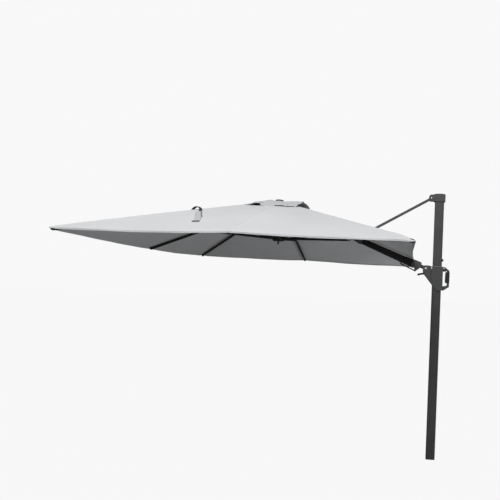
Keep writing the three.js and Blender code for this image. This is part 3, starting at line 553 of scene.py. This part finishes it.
def build_gore(index):
    """The part of the cover that one rib carries, out to halfway to its neighbours."""
    name = ROUND[index]
    # rows from the opening out to the rim, over the fold and down the hem
    top = np.linspace(0, 1, 58)
    if name == "R":
        for x in (STRUT_HOLE["from"], STRUT_HOLE["to"]):
            v = ((x - CROWN_X) / HALF - OPENING_SHARE) / (1 - OPENING_SHARE)
            top[np.argmin(abs(top - v))] = v
    rows = np.concatenate([top, [1.25, 1.5, 1.75, 2.0], [2.2, 2.4, 2.6, 2.8, 2.93, 3.0]])
    # columns: close together over the seam, then evenly out to the boundary with the next gore
    fixed = [0.0, 0.003, 0.0048, 0.006, 0.0072, 0.0086, 0.0100, 0.0125]
    spread = 26
    if name == "R":
        fixed = fixed + [0.024, STRUT_HOLE["half"]]
        spread = 24
    sides = []
    for side in (-1, 1):
        a, b = TIP_POINTS[index], TIP_POINTS[(index + side) % 8]
        aim = a[:2] / np.linalg.norm(a[:2])
        edge = (b - a)[:2]
        width = abs(aim[0] * edge[1] - aim[1] * edge[0])
        t = OPENING_SHARE + (1 - OPENING_SHARE) * np.clip(rows, 0, 1)
        half = 0.5 * width * t
        columns = [np.zeros_like(t)]
        for j in range(1, len(fixed)):
            columns.append(np.minimum(fixed[j], half * (j + 1) / (len(fixed) + 1)))
        last = columns[-1]
        for j in range(1, spread + 1):
            columns.append(last + (half - last) * j / spread)
        shares = [c / (t * width) for c in columns]
        sides.append(np.array(shares) * side)
    grid = np.concatenate([sides[0][:0:-1], sides[1]], axis=0).T + index
    count_rows, count_columns = grid.shape
    v_grid = np.repeat(rows[:, None], count_columns, axis=1)
    outer, inner = profile(grid.ravel(), v_grid.ravel())
    vertices = np.concatenate([outer, inner])
    shift = count_rows * count_columns

    def at(r, c, layer):
        return layer * shift + r * count_columns + c

    keep = np.ones((count_rows - 1, count_columns - 1), bool)
    if name == "R":
        corner = outer.reshape(count_rows, count_columns, 3)
        centre = 0.25 * (corner[:-1, :-1] + corner[1:, :-1] + corner[:-1, 1:] + corner[1:, 1:])
        inside = (
            (centre[..., 0] > STRUT_HOLE["from"])
            & (centre[..., 0] < STRUT_HOLE["to"])
            & (abs(centre[..., 1]) < STRUT_HOLE["half"])
        )
        keep &= ~inside
    faces, kinds = [], []
    for r in range(count_rows - 1):
        for c in range(count_columns - 1):
            if not keep[r, c]:
                continue
            faces.append([at(r, c, 0), at(r + 1, c, 0), at(r + 1, c + 1, 0), at(r, c + 1, 0)])
            kinds.append(0)
            faces.append([at(r, c, 1), at(r, c + 1, 1), at(r + 1, c + 1, 1), at(r + 1, c, 1)])
            kinds.append(1)
            for dr, dc, first, second in (
                (-1, 0, (r, c), (r, c + 1)),
                (1, 0, (r + 1, c + 1), (r + 1, c)),
                (0, -1, (r + 1, c), (r, c)),
                (0, 1, (r, c + 1), (r + 1, c + 1)),
            ):
                rr, cc = r + dr, c + dc
                open_side = not (0 <= rr < count_rows - 1 and 0 <= cc < count_columns - 1)
                if open_side or not keep[rr, cc]:
                    faces.append([at(*first, 0), at(*second, 0), at(*second, 1), at(*first, 1)])
                    kinds.append(2)
    mesh = bpy.data.meshes.new(f"cover_{name}")
    mesh.from_pydata([tuple(v) for v in vertices], [], faces)
    sewing = mesh.uv_layers.new(name="Sewing")
    normals = np.concatenate([layer_normals(grid, v_grid, 0), layer_normals(grid, v_grid, 1)])
    # distance along and from the nearest row of stitches
    plan_length = np.linalg.norm(outer[:, :2] - np.array([CROWN_X, 0]), axis=1)
    aim = TIP_POINTS[index][:2] / np.linalg.norm(TIP_POINTS[index][:2])
    across = abs((outer[:, 0] - CROWN_X) * aim[1] - outer[:, 1] * aim[0]) - STITCH_SIDE
    flat_v = v_grid.ravel()
    hem_drop = np.clip(flat_v - 2, 0, 1) * HEM
    hem_along = (outer[:, 0] + outer[:, 1]) if abs(aim[0]) != abs(aim[1]) else (outer[:, 0] - outer[:, 1])
    on_hem = flat_v > 1
    stitch_along = np.where(on_hem, hem_along, plan_length)
    stitch_across = np.where(on_hem, hem_drop - 0.019, across)
    stitch_along = np.concatenate([stitch_along, stitch_along])
    stitch_across = np.concatenate([stitch_across, stitch_across])
    loops = np.zeros(len(mesh.loops), int)
    mesh.loops.foreach_get("vertex_index", loops)
    stitches = np.stack([stitch_along[loops], stitch_across[loops]], 1)
    sewing.data.foreach_set("uv", stitches.astype(np.float32).ravel())
    mesh.polygons.foreach_set("use_smooth", [kind != 2 for kind in kinds])
    mesh.materials.append(FINISHES["canopy_fabric"])
    mesh.validate()
    loop_normals = normals[loops]
    for polygon, kind in zip(mesh.polygons, kinds):
        if kind == 2:
            for loop in polygon.loop_indices:
                loop_normals[loop] = 0
    mesh.normals_split_custom_set([tuple(n) for n in loop_normals])
    obj = bpy.data.objects.new(f"cover_{name}", mesh)
    bpy.context.scene.collection.objects.link(obj)
    fold_with(obj, index)
    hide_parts(f"canopy_gore_{name}")


for rib_index in range(len(ROUND)):
    build_gore(rib_index)


# ---------------------------------------------------------------- vent flap, a dark net as painted shade under it, and trims
FLAP = {"half": 0.310, "centre": 2.766, "shoulder": 0.160, "shoulder_z": 2.751, "edge_z": 2.675, "hem": 0.018}
FLAP_SHEET = 0.0022
# a near-black net on the cover under the flap, from the opening's edge out to just inside the flap's edge: a
# vent net, and painted shade of the gap under the flap
NET_AND_SHADE_HALF = 0.296
NET_AND_SHADE_SHEET = 0.0008
PATCH_RADIUS = 0.095


def ease(value, low, high):
    share = np.clip((value - low) / (high - low), 0, 1)
    return share * share * (3 - 2 * share)


def square_reach(x, y):
    """Distance from the crown towards the nearest side of the square, a little rounded at corners."""
    return (abs(x) ** 9 + abs(y) ** 9) ** (1 / 9)


def cover_height(x, y):
    """Height of the cover's upper face over a crown-relative point in plan."""
    side = np.maximum(np.maximum(abs(x), abs(y)), 1e-6)
    turn = np.mod(np.arctan2(y, x), 2 * np.pi) / (np.pi / 4)
    k = np.floor(turn).astype(int) % 8
    slant = np.tan(np.mod(turn, 1.0) * np.pi / 4)
    back = np.tan((1 - np.mod(turn, 1.0)) * np.pi / 4)
    f = np.where(k % 2 == 0, slant, 1 - back)
    return cover(k + np.clip(f, 0, 0.9999), side / HALF)[:, 2]


def flap_height(x, y):
    """The square flap over the vent: flat on top, ruffled towards its hem, lifted at two places."""
    half, shoulder = FLAP["half"], FLAP["shoulder"]
    r = square_reach(x, y)
    # the flat top reaches further towards the mast, where the flap is slack
    slack = square_reach(np.where(x > 0, 0.5 * x, x), y)
    crease = FLAP["shoulder_z"] + 0.012 * np.exp(-(((x + 0.045) / 0.06) ** 2))
    top = FLAP["centre"] - (FLAP["centre"] - crease) * np.clip(slack / shoulder, 0, 1) ** 2
    fall = np.clip((slack - shoulder) / (half - shoulder), 0, 1.05)
    side = crease - (crease - FLAP["edge_z"]) * fall**1.15
    z = np.where(slack < shoulder, top, side)
    share = np.clip((r - shoulder) / (half - shoulder), 0, 1.05)
    turn = np.arctan2(y, x)
    ruffle = np.sin(31 * turn + 2.2 * np.sin(4 * turn)) * 0.6 + np.sin(53 * turn + 1.0) * 0.4
    z = z + 0.0030 * ruffle * share**1.6
    z = z + 0.0035 * np.sin(9 * turn + 0.8) * ease(r, 0.06, shoulder)
    near_side = np.exp(-(((y + half) / 0.085) ** 2))
    z = z + (0.012 + 0.016 * ease(x, -0.30, -0.14)) * ease(-x, 0.115, 0.135) * near_side
    z = z + 0.026 * ease(x, 0.255, 0.300) * near_side
    z = z + 0.006 * ease(x, -0.08, 0.0) * ease(-x, -0.30, -0.22) * near_side
    hem = 0.0011 * ease(r, half - FLAP["hem"] - 0.001, half - FLAP["hem"] + 0.001)
    fold = 0.005 * ease(r, half - 0.005, half + 0.001)
    return z + hem - fold


def net_and_shade_height(x, y):
    return cover_height(x, y) + 0.0022


def sector_grid(index, reaches, columns):
    """Crown-relative plan positions of the sector that one rib carries, row by row outwards."""
    u = index + np.linspace(-0.5, 0.5, columns)
    k = np.floor(np.mod(u, 8.0)).astype(int) % 8
    f = (u - np.floor(u))[:, None]
    square = np.array([[1, 0], [1, 1], [0, 1], [-1, 1], [-1, 0], [-1, -1], [0, -1], [1, -1]], float)
    ring = square[k] * (1 - f) + square[(k + 1) % 8] * f
    return ring[None, :, :] * np.asarray(reaches)[:, None, None]


def sheet_faces(rows, columns, looped=False):
    """Faces of a closed sheet: two layers of rows x columns points, then the rim between them.

    The second value counts the faces of the two layers.
    """
    shift = rows * columns
    faces = []
    spans = columns if looped else columns - 1

    def at(r, c, layer):
        return layer * shift + r * columns + c % columns

    for r in range(rows - 1):
        for c in range(spans):
            faces.append([at(r, c, 0), at(r + 1, c, 0), at(r + 1, c + 1, 0), at(r, c + 1, 0)])
            faces.append([at(r, c, 1), at(r, c + 1, 1), at(r + 1, c + 1, 1), at(r + 1, c, 1)])
    both = 2 * (rows - 1) * spans
    for c in range(spans):
        faces.append([at(0, c, 0), at(0, c + 1, 0), at(0, c + 1, 1), at(0, c, 1)])
        faces.append([at(rows - 1, c + 1, 0), at(rows - 1, c, 0), at(rows - 1, c, 1), at(rows - 1, c + 1, 1)])
    if not looped:
        end = columns - 1
        for r in range(rows - 1):
            faces.append([at(r + 1, 0, 0), at(r, 0, 0), at(r, 0, 1), at(r + 1, 0, 1)])
            faces.append([at(r, end, 0), at(r + 1, end, 0), at(r + 1, end, 1), at(r, end, 1)])
    return faces, both


def build_petal(name, index, reaches, columns, height, thickness, material):
    """One sector of the flap or of the dark net (painted shade), from the first to the last reach, under a
    height formula.
    """
    plan = sector_grid(index, reaches, columns)
    rows = len(reaches)
    x, y = plan[..., 0].ravel(), plan[..., 1].ravel()
    z = height(x, y)
    step = 0.002
    gx = (height(x + step, y) - height(x - step, y)) / (2 * step)
    gy = (height(x, y + step) - height(x, y - step)) / (2 * step)
    normal = np.stack([-gx, -gy, np.ones_like(gx)], 1)
    normal /= np.linalg.norm(normal, axis=1)[:, None]
    top = np.stack([x + CROWN_X, y, z], 1)
    under = top - np.array([0, 0, thickness])
    faces, both = sheet_faces(rows, columns)
    mesh = bpy.data.meshes.new(name)
    mesh.from_pydata([tuple(v) for v in np.concatenate([top, under])], [], faces)
    sewing = mesh.uv_layers.new(name="Sewing")
    loops = np.zeros(len(mesh.loops), int)
    mesh.loops.foreach_get("vertex_index", loops)
    r = square_reach(x, y)
    along, across = x + y, r - (max(reaches) - FLAP["hem"] + 0.003)
    stitches = np.stack([np.tile(along, 2)[loops], np.tile(across, 2)[loops]], 1)
    sewing.data.foreach_set("uv", stitches.astype(np.float32).ravel())
    mesh.polygons.foreach_set("use_smooth", [i < both for i in range(len(faces))])
    mesh.materials.append(material)
    loop_normals = np.concatenate([normal, -normal])[loops]
    for polygon in list(mesh.polygons)[both:]:
        for loop in polygon.loop_indices:
            loop_normals[loop] = 0
    mesh.normals_split_custom_set([tuple(n) for n in loop_normals])
    obj = bpy.data.objects.new(name, mesh)
    bpy.context.scene.collection.objects.link(obj)
    fold_with(obj, index)
    return obj


def build_vent():
    flap_weave = woven("flap_weave", 0.50, 0.34)
    # near black: painted shade under the flap
    net_and_painted_shade_weave = woven("net_and_painted_shade_weave", 0.006, None, 0.0030, 0.0)
    over_hem = [0.2905, 0.2915, 0.2935, 0.299, 0.3045, 0.308, FLAP["half"]]
    flap_rows = np.concatenate([np.linspace(0.075, 0.285, 22), over_hem])
    net_and_shade_rows = np.linspace(0.125, NET_AND_SHADE_HALF, 9)
    for index, name in enumerate(ROUND):
        flap = build_petal(f"vent_{name}", index, flap_rows, 41, flap_height, FLAP_SHEET, flap_weave)
        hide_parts("vent_flap")
        build_petal(f"vent_net_and_painted_shade_{name}", index, net_and_shade_rows, 9, net_and_shade_height, NET_AND_SHADE_SHEET, net_and_painted_shade_weave)
    # a round patch under the finial, sewn over the middle of the flap
    sides, rings = 64, [0.008, 0.03, 0.055, 0.078, PATCH_RADIUS - 0.003, PATCH_RADIUS]
    top, under = [], []
    for radius in rings:
        # the patch thins out at its rim
        above, thickness = (0.0012, 0.0010) if radius == PATCH_RADIUS else (0.0022, 0.0018)
        for j in range(sides):
            a = 2 * math.pi * j / sides
            x, y = radius * math.cos(a), radius * math.sin(a)
            z = float(flap_height(np.array([x]), np.array([y]))[0]) + above
            top.append((CROWN_X + x, y, z))
            under.append((CROWN_X + x, y, z - thickness))
    faces, _ = sheet_faces(len(rings), sides, looped=True)
    piece("vent_patch", top + under, faces, "crown", "canopy_fabric", flap_weave)


def ribbon(name, path, sides, width, thickness, material, swell=0.0):
    """A closed strip of webbing along a path, with its own side direction at each point."""
    path, sides = np.array(path, float), np.array(sides, float)
    sides /= np.linalg.norm(sides, axis=1)[:, None]
    ahead = np.gradient(path, axis=0)
    normal = np.cross(ahead, sides)
    normal /= np.linalg.norm(normal, axis=1)[:, None]
    across = np.linspace(-0.5, 0.5, 7)
    top, under = [], []
    for p, side, up in zip(path, sides, normal):
        for c in across:
            edge = 1 - (2 * abs(c)) ** 6 * 0.55
            centre = p + side * c * width + up * (swell * (1 - 4 * c * c))
            top.append(centre + up * thickness * edge / 2)
            under.append(centre - up * thickness * edge / 2)
    faces, _ = sheet_faces(len(path), len(across))
    return piece(name, top + under, faces, "rib_A", "canopy_fabric", material)


def smooth_path(points, count):
    """Evenly spaced points on a smooth curve through the given ones."""
    points = np.array(points, float)
    spans = len(points) - 1
    made = []
    for value in np.linspace(0, spans, count):
        k = min(int(value), spans - 1)
        f = value - k
        p0, p1, p2, p3 = (points[min(max(k + i, 0), spans)] for i in (-1, 0, 1, 2))
        second = 2 * p0 - 5 * p1 + 4 * p2 - p3
        third = 3 * p1 - p0 - 3 * p2 + p3
        made.append(0.5 * (2 * p1 + (p2 - p0) * f + second * f**2 + third * f**3))
    return np.array(made)


def on_cover(points, above):
    """Crown-relative plan points lifted onto the cover."""
    points = np.array(points, float)
    z = cover_height(points[:, 0], points[:, 1]) + above
    return np.stack([points[:, 0] + CROWN_X, points[:, 1], z], 1)


def build_closure_strap():
    """The strap that ties the closed canopy: a grey band on the near panel, a black loop on the hip."""
    black = webbing("black_webbing", 0.010)
    grey = webbing("grey_webbing", 0.42)
    # plan positions from the crown, from the hip down the near panel
    line = [(-0.588, -0.745), (-0.571, -0.810), (-0.506, -0.938), (-0.461, -1.058), (-0.436, -1.140)]
    band = smooth_path(line, 40)
    # a thin black strip along the band's right side, just past its edge: painted shadow of the band
    band_shadow_path = on_cover(band[2:22] + [0.030, 0.004], 0.006)
    tail = on_cover([(-0.468, -1.153), (-0.436, -1.146), (-0.405, -1.139)], 0.0062)
    foot = on_cover([(-0.612, -0.655), (-0.600, -0.700), (-0.586, -0.748)], 0.004)
    start, end = on_cover([(-0.690, -0.668), (-0.612, -0.655)], 0.002)
    arch = []
    for value in np.linspace(0, 1, 28):
        rise = 0.034 * math.sin(math.pi * value) ** 0.6
        arch.append(start * (1 - value) + end * value + np.array([0, 0, rise]))
    # name, path, direction across it, width, thickness, webbing, extra height of the middle
    for name, path, across, width, thickness, tape, swell in (
        ("strap_band", on_cover(band, 0.0045), [1, 0.28, 0.05], 0.056, 0.0026, grey, 0.004),
        ("strap_painted_shadow", band_shadow_path, [1, 0.28, 0.5], 0.007, 0.0030, black, 0.0),
        ("strap_end", tail, [0.2, -1, 0.0], 0.020, 0.0060, black, 0.0),
        ("strap_loop", arch, [0.25, 1, 0.1], 0.044, 0.0060, black, 0.0),
        ("strap_root", foot, [1, 0.28, 0.3], 0.030, 0.0040, black, 0.0),
    ):
        strip = ribbon(name, path, np.tile(across, (len(path), 1)), width, thickness, tape, swell)
        fold_with(strip, ROUND.index("A"))


def lofted(stations, sides=20, power=4.0):
    """A closed body through rounded rectangles, each given as centre, two axes and two half sizes."""
    vertices, faces = [], []
    for centre, side, up, half_side, half_up in stations:
        for j in range(sides):
            a = 2 * math.pi * j / sides
            ca, sa = math.cos(a), math.sin(a)
            x = math.copysign(abs(ca) ** (2 / power), ca) * half_side
            y = math.copysign(abs(sa) ** (2 / power), sa) * half_up
            vertices.append(Vector(centre) + Vector(side) * x + Vector(up) * y)
    for r in range(len(stations) - 1):
        for j in range(sides):
            n = (j + 1) % sides
            faces.append([r * sides + j, r * sides + n, (r + 1) * sides + n, (r + 1) * sides + j])
    faces.append(list(range(sides))[::-1])
    faces.append([(len(stations) - 1) * sides + j for j in range(sides)])
    return vertices, faces


JOINTS = {row["name"]: row for row in frame["record"]["behaviour"]["joints"]}


def rib_axes(name):
    """Hinge point, direction towards the tip, sideways and upward directions of a rib."""
    row = JOINTS[f"rib_{name}_fold"]
    hinge = Vector(row["pos_m"])
    side = Vector(row["axis"])
    end = Vector(tip(name)) + Vector((CROWN_X, 0, -0.021))
    along = (end - hinge).normalized()
    return hinge, end, along, side, side.cross(along) * -1


# distance back from the rib's end, half width and half height of the cap
CAP_STATIONS = (
    (0.062, 0.0084, 0.0145),
    (0.060, 0.0098, 0.0158),
    (0.030, 0.0100, 0.0160),
    (0.0285, 0.0088, 0.0148),
    (0.0200, 0.0086, 0.0135),
    (0.0120, 0.0078, 0.0100),
    (0.0080, 0.0060, 0.0062),
)
# distance along the rivet from the stretcher's pivot, and radius
RIVET_STATIONS = (
    (-0.0105, 0.0015),
    (-0.0098, 0.0060),
    (-0.0072, 0.0072),
    (-0.0070, 0.0042),
    (0.0300, 0.0042),
    (0.0302, 0.0072),
    (0.0325, 0.0060),
    (0.0333, 0.0015),
)


def build_rib_fittings():
    """Plastic end caps that slip into the cover's pockets, and the rivets that hold the stretchers."""
    for name in ROUND[1:]:
        _, end, along, side, up = rib_axes(name)
        if up.z < 0:
            up = -up
        stations = []
        for back, half_side, half_up in CAP_STATIONS:
            stations.append((end - along * back, side, up, half_side, half_up))
        vertices, faces = lofted(stations)
        piece(f"rib_cap_{name}", vertices, faces, f"rib_{name}", "black_plastic")
        row = JOINTS[f"stretcher_{name}_turn"]
        place, axis = Vector(row["pos_m"]), Vector(row["axis"])
        toward_rib = 1 if (Vector(place) - rib_axes(name)[0]).dot(axis) < 0 else -1
        square = axis.orthogonal().normalized()
        level = axis.cross(square)
        stations = [(place + axis * toward_rib * at, square, level, r, r) for at, r in RIVET_STATIONS]
        vertices, faces = lofted(stations, 18, 2.0)
        piece(f"rivet_{name}", vertices, faces, f"rib_{name}", "bright_steel")


def build_turned_parts():
    cap = [
        # the stem
        (0, 2.7312), (0.0058, 2.7312), (0.0060, 2.7330), (0.0060, 2.7690),
        # the disc's underside, rim and rounded top
        (0.0400, 2.7692), (0.0430, 2.7698), (0.0446, 2.7718), (0.0450, 2.7745), (0.0449, 2.7845),
        (0.0441, 2.7878), (0.0420, 2.7908), (0.0380, 2.7932), (0.0300, 2.7948),
        # a shallow groove round the middle
        (0.0292, 2.7936), (0.0272, 2.7936), (0.0262, 2.7952), (0.0140, 2.7962), (0, 2.7964),
    ]
    vertices, faces = turned(cap, 64, Vector((CROWN_X, 0, 0)))
    finial = piece("finial_cap", vertices, faces, "crown", "black_plastic")
    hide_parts("finial")
    softened(finial, 0.0004, 1, 40)
    ball = 0.012
    middle = KNOB_LOW.z + ball
    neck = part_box("runner_hub")[0].z - 0.0003
    profile = [(0, KNOB_LOW.z)]
    for k in range(1, 13):
        a = math.pi * 0.80 * k / 12
        profile.append((ball * math.sin(a), middle - ball * math.cos(a)))
    profile += [(0.0066, middle + 0.0125), (0.0070, neck - 0.0035), (0.0096, neck - 0.0025)]
    profile += [(0.0100, neck), (0, neck)]
    vertices, faces = turned(profile, 40, Vector((CROWN_X, 0, 0)))
    knob = piece("knob_ball", vertices, faces, "runner", "black_plastic")
    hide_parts("runner_knob")
    softened(knob, 0.0004, 1, 40)


def build_opening_trim():
    """A bound edge round the opening that lets the strut through the cover."""
    low, high, half = STRUT_HOLE["from"] - CROWN_X, STRUT_HOLE["to"] - CROWN_X, STRUT_HOLE["half"]
    middle = (low + high) / 2
    outline = []
    for k in range(72):
        a = 2 * math.pi * (k + 0.5) / 72
        ca, sa = math.cos(a), math.sin(a)
        outline.append((math.copysign(abs(ca) ** 0.22, ca), math.copysign(abs(sa) ** 0.22, sa)))
    top, under = [], []
    for grow, above in ((-0.0015, 0.0006), (-0.0005, 0.0024), (0.010, 0.0026), (0.0115, 0.0008)):
        for ox, oy in outline:
            x = middle + ox * ((high - low) / 2 + grow)
            y = oy * (half + grow)
            z = float(cover_height(np.array([x]), np.array([y]))[0])
            top.append((CROWN_X + x, y, z + above))
            under.append((CROWN_X + x, y, z - 0.0005 - (0.0024 if grow < 0 else 0.0)))
    faces, _ = sheet_faces(4, 72, looped=True)
    trim = piece("opening_trim", top + under, faces, "boom", "canopy_fabric", webbing("trim_webbing", 0.30))
    fold_with(trim, 0)


build_vent()
build_closure_strap()
build_rib_fittings()
build_turned_parts()
build_opening_trim()

# ---------------------------------------------------------------- camera, light and floor
CAMERA = {"place": (-0.3655, -5.1655, 1.7962), "yaw": -0.076, "roll": 0.0375, "lens": 33.71}
SHIFT = (-0.2339, 0.0844)


def build_camera():
    data = bpy.data.cameras.new("camera")
    camera = bpy.data.objects.new("camera", data)
    bpy.context.scene.collection.objects.link(camera)
    yaw, roll = CAMERA["yaw"], CAMERA["roll"]
    forward = Vector((math.sin(yaw), math.cos(yaw), 0))
    right = Vector((math.cos(yaw), -math.sin(yaw), 0))
    up = Vector((0, 0, 1))
    turned_right = math.cos(roll) * right + math.sin(roll) * up
    turned_up = -math.sin(roll) * right + math.cos(roll) * up
    camera.rotation_mode = "QUATERNION"
    axes = [turned_right, turned_up, -forward]
    camera.rotation_quaternion = Matrix([[axes[c][r] for c in range(3)] for r in range(3)]).to_quaternion()
    camera.location = CAMERA["place"]
    data.sensor_width = 36
    data.lens = CAMERA["lens"]
    data.clip_start, data.clip_end = 0.05, 300
    # the lens is shifted only where this camera starts; any other viewpoint looks straight ahead
    for path, amount in (("shift_x", SHIFT[0]), ("shift_y", SHIFT[1])):
        driver = data.driver_add(path).driver
        driver.type = "SCRIPTED"
        for index, axis in enumerate("xyz"):
            variable = driver.variables.new()
            variable.name = axis
            variable.targets[0].id = camera
            variable.targets[0].data_path = f"location[{index}]"
        away = " + ".join(f"abs({axis} - ({value}))" for axis, value in zip("xyz", CAMERA["place"]))
        driver.expression = f"{amount} if {away} < 0.001 else 0.0"
    bpy.context.scene.camera = camera


build_camera()


def area_light(name, place, aim, size, power, tint=(1, 1, 1)):
    data = bpy.data.lights.new(name, "AREA")
    data.shape = "RECTANGLE"
    data.size, data.size_y = size
    data.energy = power
    data.color = tint
    light = bpy.data.objects.new(name, data)
    bpy.context.scene.collection.objects.link(light)
    light.location = place
    light.rotation_mode = "QUATERNION"
    light.rotation_quaternion = (Vector(aim) - Vector(place)).to_track_quat("-Z", "Y")
    return light


# a large soft key above the near side, a weak fill from the mast's side and a faint bounce from below
area_light("key", (-2.0, -4.6, 6.6), (CROWN_X, 0, 2.4), (4, 4), 345)
area_light("fill", (3.5, -5.0, 0.6), (-0.6, 0.4, 2.2), (2.5, 2.5), 85)
bounce = area_light("bounce", (0.6, 1.6, 0.4), (-0.5, 0.2, 2.2), (1.2, 1.2), 14)
bounce.visible_camera = False

BACKDROP = 0.94


def build_world():
    world = bpy.data.worlds.new("studio")
    bpy.context.scene.world = world
    world.use_nodes = True
    tree = world.node_tree
    tree.nodes.clear()
    output = tree.nodes.new("ShaderNodeOutputWorld")
    seen = tree.nodes.new("ShaderNodeBackground")
    seen.inputs["Color"].default_value = (BACKDROP, BACKDROP, BACKDROP, 1)
    lit = tree.nodes.new("ShaderNodeBackground")
    place = tree.nodes.new("ShaderNodeTexCoord")
    split = tree.nodes.new("ShaderNodeSeparateXYZ")
    tree.links.new(place.outputs["Generated"], split.inputs[0])
    height = tree.nodes.new("ShaderNodeMapRange")
    tree.links.new(split.outputs["Z"], height.inputs["Value"])
    height.inputs["From Min"].default_value = -0.1
    height.inputs["From Max"].default_value = 0.8
    height.inputs["To Min"].default_value = 0.05
    height.inputs["To Max"].default_value = 0.52
    tree.links.new(height.outputs[0], lit.inputs["Strength"])
    path = tree.nodes.new("ShaderNodeLightPath")
    choose = tree.nodes.new("ShaderNodeMixShader")
    tree.links.new(path.outputs["Is Camera Ray"], choose.inputs[0])
    tree.links.new(lit.outputs[0], choose.inputs[1])
    tree.links.new(seen.outputs[0], choose.inputs[2])
    tree.links.new(choose.outputs[0], output.inputs["Surface"])


def build_floor():
    """A large pale floor. The camera sees it near the backdrop's tone, so that it has no horizon."""
    reach = 120.0
    mesh = bpy.data.meshes.new("floor")
    count = 48
    turns = [2 * math.pi * k / count for k in range(count)]
    ring = [(reach * math.cos(turn), reach * math.sin(turn), 0) for turn in turns]
    mesh.from_pydata(ring, [], [list(range(count))])
    floor = bpy.data.objects.new("floor", mesh)
    bpy.context.scene.collection.objects.link(floor)
    s = Shader("pale_floor")
    s.finish(Base_Color=(0.29, 0.29, 0.29, 1), Roughness=0.9)
    glow = s.node("ShaderNodeEmission")
    glow.inputs["Color"].default_value = (BACKDROP, BACKDROP, BACKDROP, 1)
    path = s.node("ShaderNodeLightPath")
    choose = s.node("ShaderNodeMixShader")
    share = s.math("MULTIPLY", path.outputs["Is Camera Ray"], 0.99)
    s.link(share, choose.inputs[0])
    s.link(s.surface.outputs[0], choose.inputs[1])
    s.link(glow.outputs[0], choose.inputs[2])
    s.link(choose.outputs[0], s.output.inputs["Surface"])
    mesh.materials.append(s.material)


build_world()
build_floor()
bpy.context.scene.view_settings.view_transform = "Standard"
